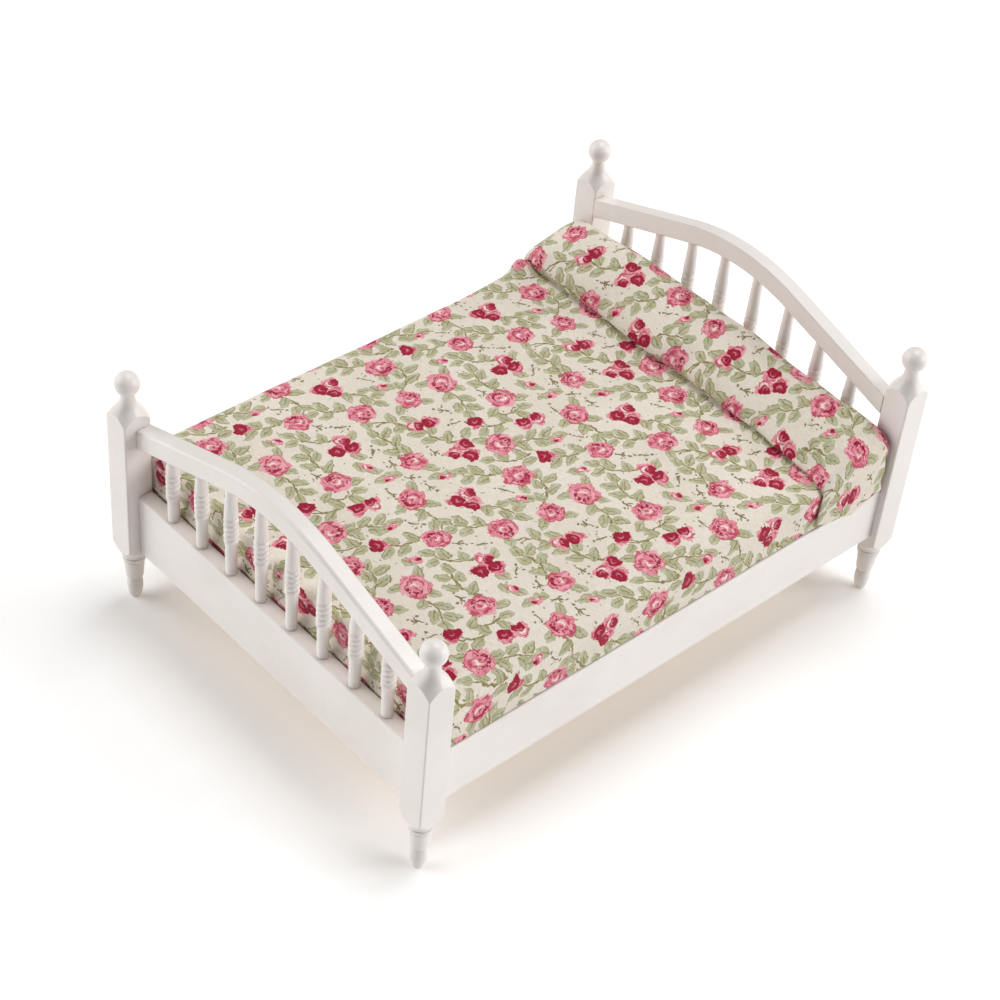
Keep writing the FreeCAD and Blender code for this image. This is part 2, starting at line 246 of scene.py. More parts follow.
def print_layout():
    """One repeat of the print: {motif: [(x, y, turn, variant)]}, in mm and radians.

    Open roses are spread out first, then clusters of buds and small single buds, then stems and leaves
    that leave them, then twigs in the gaps.
    """
    pick = random.Random(23)
    roses, buds, stems, leaves, twigs = [], [], [], [], []

    def open_place(taken, tries=160):
        """The place, of many tried, with the most room to what is there; taken is [(spots, weight)]."""
        best, room = None, -1.0
        for _ in range(tries):
            spot = (pick.uniform(0, REPEAT), pick.uniform(0, REPEAT))
            near = min((spot_gap(spot, s) * w for spots, w in taken for s in spots), default=99.0)
            if near > room:
                best, room = spot, near
        return best

    def turned():
        return pick.uniform(0, 2 * math.pi)

    for i in range(9):
        x, y = open_place([(roses, 1.0)], 9)
        roses.append((x, y, turned(), i % 3))
    clusters = []
    for i in range(7):
        clusters.append(open_place([(roses, 1.15), (clusters, 1.0)], 40))
    for i, (x, y) in enumerate(clusters):
        lean = turned()
        for k in range((3, 2, 3, 1, 2, 3, 1)[i]):
            a = lean + k * 2.1
            r = 2.5 if i not in (3, 6) else 0.0
            buds.append((x + r * math.cos(a), y + r * math.sin(a), turned(), (0, 1, 2)[(i + k) % 3]))
    for _ in range(6):
        x, y = open_place([(roses, 1.0), (buds, 1.2)], 60)
        buds.append((x, y, turned(), 3))

    def try_leaf(x, y, turn, variant, room=2.7):
        if (
            all(spot_gap((x, y), s) > 4.5 for s in roses)
            and all(spot_gap((x, y), s) > (3.0 if s[3] != 3 else 1.9) for s in buds)
            and all(spot_gap((x, y), s) > room for s in leaves)
        ):
            leaves.append((x, y, turn, variant))
            return True
        return False

    # a stem is an arc of 9 mm radius; it leaves a flower, with leaves on both sides of it
    for start, reach in [(r, 5.0) for r in roses] + [(c, 5.4) for c in clusters]:
        best, room = None, -9.0
        for _ in range(24):
            a, bend = turned(), pick.choice((0, 1))
            mid = (start[0] + (reach + 4.0) * math.cos(a), start[1] + (reach + 4.0) * math.sin(a))
            near = min(
                [spot_gap(mid, s) - 3.5 for s in roses if s is not start]
                + [spot_gap(mid, s) - 2.4 for s in buds]
                + [0.8 * spot_gap(mid, s) - 1.5 for s in stems]
            )
            if near > room:
                best, room = (mid[0], mid[1], a, bend), near
        stems.append(best)
        x, y, a, bend = best
        side = 1 if bend else -1
        for along, out, twist in STEM_LEAVES:
            drop = side * along * along / 18.0
            px = x + along * math.cos(a) - (out * side + drop) * math.sin(a)
            py = y + along * math.sin(a) + (out * side + drop) * math.cos(a)
            try_leaf(px, py, a + twist * side, len(leaves) % 3)
    for x, y, turn, variant in list(buds):
        if variant == 3:
            try_leaf(x + 2.1 * math.cos(turn), y + 2.1 * math.sin(turn), turn + 0.4, 1, 2.2)
            try_leaf(x - 2.0 * math.cos(turn + 0.7), y - 2.0 * math.sin(turn + 0.7), turn - 0.3, 2, 2.2)
    for near in (roses, clusters):
        for x, y, *_ in near:
            a = turned()
            for k in range(3):
                b = a + k * 1.9
                try_leaf(x + 5.2 * math.cos(b), y + 5.2 * math.sin(b), b + 0.3, len(leaves) % 3, 3.0)
    for _ in range(13):
        x, y = open_place([(roses, 0.7), (buds, 0.9), (leaves, 1.0), (stems, 1.0), (twigs, 0.6)])
        twigs.append((x, y, turned(), len(twigs) % 2))
    return {"rose": roses, "bud": buds, "stem": stems, "leaf": leaves, "twig": twigs}


def nearest(net, place, spots):
    """The cloth seen from the nearest of the spots.

    Gives the place measured from that spot and turned with it, its variant, and a number of its own.
    """
    best = code = None
    for x, y, turn, variant in spots:
        x, y = x % REPEAT, y % REPEAT
        mark = (x, y, turn % (2 * math.pi) + 8.0 * variant)
        half = REPEAT / 2
        folded = net.vec("WRAP", place, (x + half, y + half, 0.5), (x - half, y - half, -0.5))
        gap = net.vec("DISTANCE", folded, (x, y, 0.0))
        if best is None:
            best, code = gap, net.xyz(*mark)
        else:
            closer = net.math("LESS_THAN", gap, best)
            code = net.mix(closer, code, mark, "VECTOR")
            best = net.math("MINIMUM", best, gap)
    x, y, packed = net.split(code)
    variant = net.math("FLOOR", net.math("DIVIDE", packed, 8.0))
    turn = net.math("SUBTRACT", packed, net.times(variant, 8.0))
    half = REPEAT / 2
    away = net.vec("WRAP", net.vec("SUBTRACT", place, net.xyz(x, y)), (half, half, 0.5), (-half, -half, -0.5))
    node = net.add("VectorRotate", rotation_type="Z_AXIS")
    net.put(node.inputs["Vector"], away)
    net.put(node.inputs["Angle"], net.times(turn, -1.0))
    return node.outputs[0], variant, net.math("MULTIPLY_ADD", x, 7.3, y)


def disc(net, place, x, y, radius, soft=0.22):
    """1 inside a circle drawn at (x, y), 0 outside."""
    return net.step(net.vec("DISTANCE", place, (x, y, 0.0)), radius + soft, radius - soft)


def crescent(net, place, outer, inner):
    return net.times(disc(net, place, *outer), net.math("SUBTRACT", 1.0, disc(net, place, *inner)))


def over(net, below, mask, colour):
    return net.mix(mask, below, colour)


def lobed(net, place, lobes, depth):
    """(distance from the centre, with the outline pulled in between petals; angle)."""
    x, y, _ = net.split(place)
    angle = net.math("ARCTAN2", y, x)
    wave = net.math("SINE", net.times(angle, lobes))
    return net.times(net.vec("LENGTH", place), net.math("MULTIPLY_ADD", wave, depth, 1.0)), angle


def draw_rose(net, below, place, variant, own, grain):
    """An open rose 8 mm across: pale petals, darker brush strokes, and a crimson heart round a pale fold."""
    size = net.math("MULTIPLY_ADD", variant, -0.08, 1.10)
    place = net.vec("DIVIDE", place, net.xyz(size, net.times(size, 0.92), 1.0))
    radius, angle = lobed(net, place, 5.0, 0.06)
    ragged = net.math("MULTIPLY_ADD", net.math("SUBTRACT", grain, 0.5), 1.6, radius)
    shape = net.step(ragged, 4.15, 3.90)
    around = net.xyz(net.times(radius, 0.62), net.times(angle, 0.80), own)
    petals = net.noise(around, 1.0, 1.0)[0]
    colour = net.mix(net.step(petals, 0.42, 0.58), PINK, PALE)
    stroke = net.step(net.math("ABSOLUTE", net.math("SUBTRACT", petals, 0.53)), 0.034, 0.018)
    colour = over(net, colour, net.times(stroke, net.step(grain, 0.34, 0.46)), ROSE)
    shadow = net.times(net.step(petals, 0.40, 0.35), net.step(radius, 1.2, 2.0))
    colour = over(net, colour, net.times(shadow, 0.9), ROSE)
    part = net.math("SINE", net.math("ADD", angle, own))
    rim = net.times(net.step(ragged, 3.2, 3.6), net.step(part, 0.45, 0.75))
    colour = over(net, colour, net.times(rim, 0.85), ROSE)
    heart = crescent(net, place, (0.5, -0.9, 2.15), (0.1, -0.05, 1.65))
    colour = over(net, colour, net.times(heart, net.step(grain, 0.40, 0.50)), CRIMSON)
    curl = crescent(net, place, (-0.7, 0.9, 1.6), (-0.25, 0.35, 1.35))
    colour = over(net, colour, net.times(curl, net.step(grain, 0.36, 0.46)), ROSE)
    colour = over(net, colour, crescent(net, place, (-0.15, -0.1, 1.0), (0.35, -0.45, 0.98)), BLUSH)
    colour = over(net, colour, disc(net, place, 0.50, -0.25, 0.45), ROSE)
    return over(net, below, shape, colour)


def draw_bud(net, below, place, variant, own, grain):
    """A half-open bud 5 mm across, crimson with pink petals below; variant 3 is a small pink one."""
    small = net.math("GREATER_THAN", variant, 2.5)
    size = net.math("MULTIPLY_ADD", small, -0.30, 1.0)
    narrow = net.times(size, net.math("MULTIPLY_ADD", small, -0.22, 0.90))
    place = net.vec("DIVIDE", place, net.xyz(size, narrow, 1.0))
    radius, _ = lobed(net, place, 3.0, 0.13)
    ragged = net.math("MULTIPLY_ADD", net.math("SUBTRACT", grain, 0.5), 1.5, radius)
    shape = net.step(ragged, 2.75, 2.52)
    colour = net.mix(net.step(grain, 0.42, 0.60), PINK, PALE)
    under = crescent(net, place, (-0.5, -1.0, 1.5), (-0.2, -0.5, 1.35))
    colour = over(net, colour, net.times(under, 0.9), ROSE)
    reach = net.math("MULTIPLY_ADD", variant, -0.50, 2.75)
    inside = net.math("SUBTRACT", reach, net.vec("DISTANCE", place, (0.85, 0.75, 0.0)))
    dark = net.mix(net.step(grain, 0.58, 0.66), CRIMSON, LIGHT_CRIMSON)
    colour = over(net, colour, net.step(inside, -0.12, 0.15), dark)
    fold = crescent(net, place, (-0.30, -0.40, 1.15), (0.25, 0.15, 1.12))
    fold = net.times(fold, net.step(variant, 1.4, 1.6), net.step(grain, 0.38, 0.46))
    colour = over(net, colour, fold, BLUSH)
    lip = crescent(net, place, (0.35, 0.45, 0.80), (0.65, 0.75, 0.72))
    colour = over(net, colour, net.times(lip, 0.8), PINK)
    return over(net, below, shape, colour)


def draw_leaf(net, below, place, variant, own, grain):
    """A leaf 4.8 mm long, pale sage, with an olive midrib and one darker edge."""
    length = net.math("MULTIPLY_ADD", variant, -0.22, 2.65)
    x, y, _ = net.split(place)
    along = net.math("DIVIDE", x, length)
    bulge = net.math("SUBTRACT", 1.0, net.times(along, along))
    oval = net.math("SQRT", net.math("MAXIMUM", bulge, 0.0))
    width = net.times(oval, net.math("MULTIPLY_ADD", along, -0.30, 1.45))
    depth = net.math("SUBTRACT", width, net.math("ABSOLUTE", y))
    depth = net.math("MULTIPLY_ADD", net.math("SUBTRACT", grain, 0.5), 0.35, depth)
    shape = net.step(depth, -0.08, 0.12)
    tone = net.math("FRACT", net.times(own, 0.37))
    colour = net.mix(net.step(tone, 0.35, 0.65), SAGE, GREY)
    colour = net.mix(net.step(net.noise(place, 0.5, 1.0, dimensions="2D")[0], 0.42, 0.58), colour, MOSS)
    rib_line = net.math("ABSOLUTE", net.math("MULTIPLY_ADD", along, 0.30, y))
    rib = net.times(net.step(rib_line, 0.29, 0.15), net.step(along, 0.60, 0.40))
    lower = net.step(y, 0.15, -0.15)
    rim = net.times(net.step(depth, 0.46, 0.26), lower)
    rim = net.times(rim, net.step(variant, 1.6, 0.6))
    ink = net.math("MAXIMUM", net.times(rib, 0.85), net.times(rim, 0.90))
    colour = over(net, colour, net.times(ink, net.step(grain, 0.32, 0.46)), OLIVE)
    return over(net, below, net.times(shape, 0.93), colour)


def draw_stem(net, below, place, variant, own, grain):
    """A curved stem 12 mm long with a side shoot."""
    x, y, _ = net.split(place)
    flip = net.math("MULTIPLY_ADD", variant, 2.0, -1.0)
    y = net.times(y, flip)
    place = net.xyz(x, y)
    off = net.math("ABSOLUTE", net.math("SUBTRACT", net.vec("DISTANCE", place, (0.0, 9.0, 0.0)), 9.0))
    thin = net.math("MULTIPLY_ADD", x, -0.014, 0.28)
    inside = net.step(net.math("SUBTRACT", thin, off), -0.09, 0.07)
    line = net.times(inside, net.step(net.math("ABSOLUTE", x), 6.3, 5.9))
    side = net.math("ABSOLUTE", net.math("SUBTRACT", net.math("MULTIPLY_ADD", x, -0.75, y), -0.75))
    side = net.times(net.step(side, 0.28, 0.15), net.step(x, 0.9, 1.1), net.step(x, 3.3, 3.1))
    thorn = net.math("ABSOLUTE", net.math("MULTIPLY_ADD", x, 0.6, y))
    thorn = net.times(net.step(thorn, 0.26, 0.14), net.step(x, -2.9, -2.7), net.step(x, -1.0, -1.2))
    thorn = net.times(thorn, net.step(y, 0.6, 0.8))
    tip = disc(net, place, 3.3, 1.9, 0.42)
    mask = net.math("MAXIMUM", net.math("MAXIMUM", line, thorn), net.math("MAXIMUM", side, tip))
    colour = net.mix(net.step(grain, 0.44, 0.58), STEM, LIGHT_STEM)
    return over(net, below, net.times(mask, 0.92), colour)


def draw_twig(net, below, place, variant, own, grain):
    """A dry twig 3.5 mm long with three dots."""
    x, y, _ = net.split(place)
    up = net.math("ABSOLUTE", net.math("MULTIPLY_ADD", x, 0.15, y))
    main = net.times(net.step(up, 0.34, 0.20), net.step(net.math("ABSOLUTE", x), 1.7, 1.5))
    fork = net.math("ABSOLUTE", net.math("SUBTRACT", net.math("MULTIPLY_ADD", x, -0.9, up), 0.1))
    fork = net.times(net.step(fork, 0.36, 0.20), net.step(x, -0.1, 0.05), net.step(x, 1.25, 1.1))
    fork = net.times(fork, net.math("SUBTRACT", 1.0, net.times(variant, 0.7)))
    mask = net.math("MAXIMUM", main, fork)
    for dot_x, dot_y, radius in ((-2.3, 0.9, 0.36), (2.4, -0.3, 0.40), (0.2, -1.7, 0.32)):
        mask = net.math("MAXIMUM", mask, disc(net, place, dot_x, dot_y, radius, 0.12))
    return over(net, below, net.times(mask, 0.88), TWIG)


def printed_cotton():
    """Plain-weave cotton with a rose print, from the cloth's own flat coordinates in mm."""
    made, net, shader = material(
        "rose_print_cotton", Specular_IOR_Level=0.2, Sheen_Weight=0.12, Sheen_Roughness=0.5
    )
    shader.inputs["Sheen Tint"].default_value = (1.0, 0.97, 0.93, 1.0)
    flat = net.add("UVMap", uv_map="cloth").outputs[0]
    cloth = net.vec("SCALE", flat, scale=1 / MM)

    wander = net.noise(cloth, 0.55, 2.0, dimensions="2D")[1]
    place = net.vec("ADD", cloth, net.vec("SCALE", net.vec("SUBTRACT", wander, (0.5, 0.5, 0.5)), scale=1.5))
    place = net.vec("MULTIPLY", place, (1.0, 1.0, 0.0))
    grain = net.noise(cloth, 1.15, 3.0, 0.6, "2D")[0]

    cloud = net.noise(cloth, 0.03, 2.0, dimensions="2D")[0]
    ground = net.mix(net.step(cloud, 0.35, 0.65), CREAM, SHADED_CREAM)
    layout = print_layout()
    dots = net.add("TexVoronoi", voronoi_dimensions="2D", feature="F1")
    net.put(dots.inputs["Vector"], place)
    dots.inputs["Scale"].default_value = 0.24
    chosen = net.math("GREATER_THAN", net.split(dots.outputs["Color"])[0], 0.50)
    speck = net.times(net.step(dots.outputs["Distance"], 0.085, 0.045), chosen)
    colour = over(net, ground, net.times(speck, 0.8), OLIVE)
    layers = {"twig": draw_twig, "stem": draw_stem, "leaf": draw_leaf, "bud": draw_bud, "rose": draw_rose}
    for motif, draw in layers.items():
        seen, variant, own = nearest(net, place, layout[motif])
        colour = draw(net, colour, seen, variant, own, grain)

    # threads, every 0.3 mm each way
    u, v, _ = net.split(cloth)
    pitch = 2 * math.pi / 0.30
    weave = net.times(net.math("SINE", net.times(u, pitch)), net.math("SINE", net.times(v, pitch)))
    slub = net.noise(net.vec("MULTIPLY", cloth, (0.5, 4.0, 1.0)), 1.0, 2.0, dimensions="2D")[0]
    thread = net.math("MULTIPLY_ADD", weave, 0.25, net.times(slub, 0.9))
    between = net.mix(1.0, colour, srgb(236, 232, 226), blend="MULTIPLY")
    colour = net.mix(net.step(thread, 0.72, 0.20), colour, between)
    net.put(shader.inputs["Base Color"], colour)
    net.put(shader.inputs["Roughness"], net.span(thread, 0.2, 0.8, 0.94, 0.80))
    crumple = net.bump(net.noise(cloth, 0.22, 3.0, 0.55, "2D")[0], 0.25, 0.5 * MM)
    net.put(shader.inputs["Normal"], net.bump(thread, 0.30, 0.10 * MM, crumple))
    return made


# ---------------------------------------------------------------- meshes


def make_mesh(name, points, faces, cloth_uv):
    """An object from points in mm. cloth_uv gives, by face, each corner's place on the flat cloth in mm."""
    mesh = bpy.data.meshes.new(name)
    mesh.from_pydata([tuple(p * MM for p in q) for q in points], [], faces)
    layer = mesh.uv_layers.new(name="cloth")
    flat = [c * MM for face in cloth_uv for corner in face for c in corner]
    layer.data.foreach_set("uv", flat)
    mesh.polygons.foreach_set("use_smooth", [True] * len(faces))
    mesh.update()
    made = bpy.data.objects.new(name, mesh)
    bpy.context.scene.collection.objects.link(made)
    return made


def spaced(low, high, step, fine, band):
    """Values from low to high about step apart, and about fine apart within band of each end."""
    edge = max(1, round(band / fine))
    inner = max(1, round((high - low - 2 * band) / step))
    values = [low + band * i / edge for i in range(edge)]
    values += [low + band + (high - low - 2 * band) * i / inner for i in range(inner)]
    return values + [high - band + band * i / edge for i in range(edge + 1)]


def ripple(x, y, z, seed):
    """A smooth random height from -1 to 1 at a place given in wavelengths."""
    return noise.noise(Vector((x + seed * 13.7, y - seed * 7.3, z + seed * 3.1)))


# (across the bed, where the pillow's front fold lies along it)
FOLD = [
    (-64, 58.6), (-56, 57.0), (-48, 57.4), (-38, 57.4), (-30, 57.9), (-18, 57.0), (-8, 56.7), (3, 57.3),
    (14, 56.5), (24, 56.6), (34, 56.7), (43, 55.4), (52, 54.7), (58, 53.8), (64, 52.8),
]


def mattress():
    """The foam mattress in its cotton: flat taut top, soft edges, sides that rest on the rails."""
    low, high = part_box("mattress_cover")
    wide, deep = high.x / MM, high.y / MM  # half sizes above the rails
    top, under = high.z / MM, low.z / MM
    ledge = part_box("side_rail_right")[1].z / MM + 0.25
    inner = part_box("ledger_right")[1].x / MM - 0.3  # between the rails
    xs, ys = spaced(-1, 1, 0.031, 0.012, 0.05), spaced(-1, 1, 0.025, 0.010, 0.04)

    # rings from the top edge down: (half width, half length, corner radius, height, cloth used from the edge)
    r = 2.5
    rings = []
    for i in range(1, 7):
        a = math.pi / 2 * i / 6
        across, up = r * math.sin(a), r * math.cos(a)
        rings.append((wide - r + across, deep - r + across, across + 0.8, top - r + up))
    for z in np.linspace(top - r - 1.2, ledge + 1.0, 7):
        swell = 0.30 * math.sin(math.pi * (z - ledge) / (top - r - ledge))
        rings.append((wide + swell - 0.05, deep + 0.1 * swell, r + 0.8, z))
    rings.append((wide + 0.25, deep, r + 0.8, ledge + 0.45))
    rings.append((wide + 0.45, deep - 0.02, r + 0.8, ledge + 0.12))
    rings.append((wide + 0.40, deep - 0.05, r + 0.8, ledge))
    rings.append((inner + 0.6, deep - 0.1, r, ledge))
    rings.append((inner, deep - 0.1, r, ledge - 0.5))
    for z in np.linspace(ledge - 3.0, under + 1.5, 4):
        rings.append((inner, deep - 0.1, r, z))
    rings.append((inner - 0.5, deep - 0.6, r, under + 0.4))
    rings.append((inner - 1.4, deep - 1.5, r, under))

    edge_w, edge_d = wide - r, deep - r
    points, faces, uv = [], [], []
    grid = {}
    nx, ny = len(xs) - 1, len(ys) - 1

    for j, v in enumerate(ys):
        for i, u in enumerate(xs):
            grid[i, j] = len(points)
            points.append((u * edge_w, v * edge_d, top))
    for j in range(ny):
        for i in range(nx):
            ids = [grid[i, j], grid[i + 1, j], grid[i + 1, j + 1], grid[i, j + 1]]
            faces.append(ids)
            uv.append([(points[k][0], points[k][1]) for k in ids])
    # walk round the edge of the top, anticlockwise from the foot's left corner
    walk = [(i, 0, "foot") for i in range(nx)] + [(nx, j, "right") for j in range(ny)]
    walk += [(i, ny, "head") for i in range(nx, 0, -1)] + [(0, j, "left") for j in range(ny, 0, -1)]
    n = len(walk)

    def ring_point(k, half_w, half_d, corner):
        i, j, _ = walk[k % n]
        x, y = xs[i] * half_w, ys[j] * half_d
        qx = max(-(half_w - corner), min(half_w - corner, x))
        qy = max(-(half_d - corner), min(half_d - corner, y))
        dx, dy = x - qx, y - qy
        if dx and dy:
            far = math.hypot(dx, dy)
            dx, dy = dx / far * corner, dy / far * corner
        return qx + dx, qy + dy

    def flat(side, along, out):
        """A place on the flat cloth, along a side of the top and out from its edge."""
        if side in ("foot", "head"):
            return (along, (edge_d + out) * (1 if side == "head" else -1))
        return ((edge_w + out) * (1 if side == "right" else -1), along)

    last = [grid[i, j] for i, j, _ in walk]
    used, before = 0.0, (edge_w, top)
    for half_w, half_d, corner, z in rings:
        now = []
        for k in range(n):
            x, y = ring_point(k, half_w, half_d, corner)
            now.append(len(points))
            points.append((x, y, z))
        step = math.hypot(half_w - before[0], z - before[1])
        for k in range(n):
            side = walk[k][2]
            i, j, _ = walk[k]
            i2, j2, _ = walk[(k + 1) % n]
            ids = [last[k], now[k], now[(k + 1) % n], last[(k + 1) % n]]
            faces.append(ids)
            if side in ("foot", "head"):
                a0, a1 = xs[i] * edge_w, xs[i2] * edge_w
            else:
                a0, a1 = ys[j] * edge_d, ys[j2] * edge_d
            uv.append([flat(side, a, used + out) for a, out in ((a0, 0), (a0, step), (a1, step), (a1, 0))])
        used += step
        before = (half_w, z)
        last = now
    under_grid = {}
    for k, (i, j, _) in enumerate(walk):
        under_grid[i, j] = last[k]
    half_w, half_d = rings[-1][0], rings[-1][1]
    for j in range(1, ny):
        for i in range(1, nx):
            under_grid[i, j] = len(points)
            points.append((xs[i] * half_w, ys[j] * half_d, under))
    for j in range(ny):
        for i in range(nx):
            ids = [under_grid[i, j], under_grid[i, j + 1], under_grid[i + 1, j + 1], under_grid[i + 1, j]]
            faces.append(ids)
            uv.append([(points[k][0], points[k][1] + 11.0) for k in ids])

    made = make_mesh("mattress", points, faces, uv)
    hold = [v.index for v in made.data.vertices if v.co.z < (ledge + 0.6) * MM]
    # the pillow presses on the far end, which stays as it is
    free = np.array([max(0.0, min(1.0, (48.0 - v.co.y / MM) / 12.0)) for v in made.data.vertices])
    puff = 0.0
    inflate(made, hold, free, pressure=3.0, cap=0.45, shrink=0.0)
    puff = PUFF
    co = np.array([v.co for v in made.data.vertices]) / MM
    out = co.copy()
    for k, (x, y, z) in enumerate(co):
        rise = max(0.0, min(1.0, (z - ledge - 1.0) / (top - ledge - 3.0)))
        tilt = -0.55 + 1.0 * (y + deep) / (2 * deep)  # the top climbs a little towards the pillow
        soft = 0.16 * ripple(x / 26, y / 30, 0, 1) + 0.07 * ripple(x / 9, y / 9, z / 9, 2)
        # the cover is drawn down in front of the pillow, and puckered up at the left end of the fold
        ahead = curve_at(FOLD, x) - 3.0 - y
        drawn = -0.85 * math.exp(-((ahead / 5.5) ** 2)) * max(0.0, 1 - (x / 60) ** 4)
        pucker = math.exp(-(((x + 61.5) / 5.0) ** 2) - ((y - 54.8) / 3.0) ** 2)
        out[k, 2] += rise * (tilt + soft + drawn + 3.7 * pucker)
        out[k, 2] -= puff * rise * free[k]
        out[k, 0] -= rise * 0.7 * pucker
        if abs(x) > wide - 3.0 and z > ledge - 0.1:
            out[k, 0] += math.copysign(1, x) * 0.22 * ripple(y / 11, z / 14, 0, 3)
        if abs(y) > deep - 3.0 and z > ledge:
            out[k, 1] += math.copysign(1, y) * min(0.0, 0.30 * ripple(x / 10, z / 12, 0, 4))
        if y < -(deep - 3.0):
            # the foot end rolls over the edge of the footboard's rail
            out[k, 1] -= 0.75 * math.exp(-(((z - 40.0) / 0.9) ** 2))
    made.data.vertices.foreach_set("co", (out * MM).ravel())
    made.data.update()
    return made


def inflate(obj, held, free, pressure, cap, shrink, frames=20):
    """Blows a closed piece up with Blender's cloth, its held points fixed.

    No point moves more than cap mm, times its own share in free.
    """
    mesh = obj.data
    rest = np.array([v.co for v in mesh.vertices])
    mesh.vertices.foreach_set("co", (rest * SIM).ravel())
    group = obj.vertex_groups.new(name="held")
    group.add(held, 1.0, "REPLACE")
    cloth = obj.modifiers.new("inflate", "CLOTH")
    s = cloth.settings
    s.quality = 6
    s.mass = 0.25
    s.tension_stiffness = s.compression_stiffness = 12
    s.shear_stiffness = 5
    s.bending_stiffness = 0.6
    s.shrink_min = shrink
    s.use_pressure = True
    s.uniform_pressure_force = pressure
    s.vertex_group_mass = "held"
    s.effector_weights.gravity = 0
    cloth.collision_settings.use_collision = False
    cloth.point_cache.frame_start, cloth.point_cache.frame_end = 1, frames
    scene = bpy.context.scene
    for f in range(1, frames + 1):
        scene.frame_set(f)
    shown = obj.evaluated_get(bpy.context.evaluated_depsgraph_get())
    blown = np.array([v.co for v in shown.data.vertices]) / SIM
    obj.modifiers.remove(cloth)
    obj.vertex_groups.clear()
    scene.frame_set(1)
    move = blown - rest
    far = np.linalg.norm(move, axis=1, keepdims=True)
    move *= np.minimum(1.0, cap * MM / np.maximum(far, 1e-9)) * np.array(free)[:, None]
    mesh.vertices.foreach_set("co", (rest + move).ravel())
    mesh.update()


def curve_at(knots, x):
    """A smooth curve through (x, value) knots, level at both ends."""
    if x <= knots[0][0]:
        return knots[0][1]
    for (x0, v0), (x1, v1) in zip(knots, knots[1:]):
        if x <= x1:
            t = (x - x0) / (x1 - x0)
            return v0 + (v1 - v0) * t * t * (3 - 2 * t)
    return knots[-1][1]


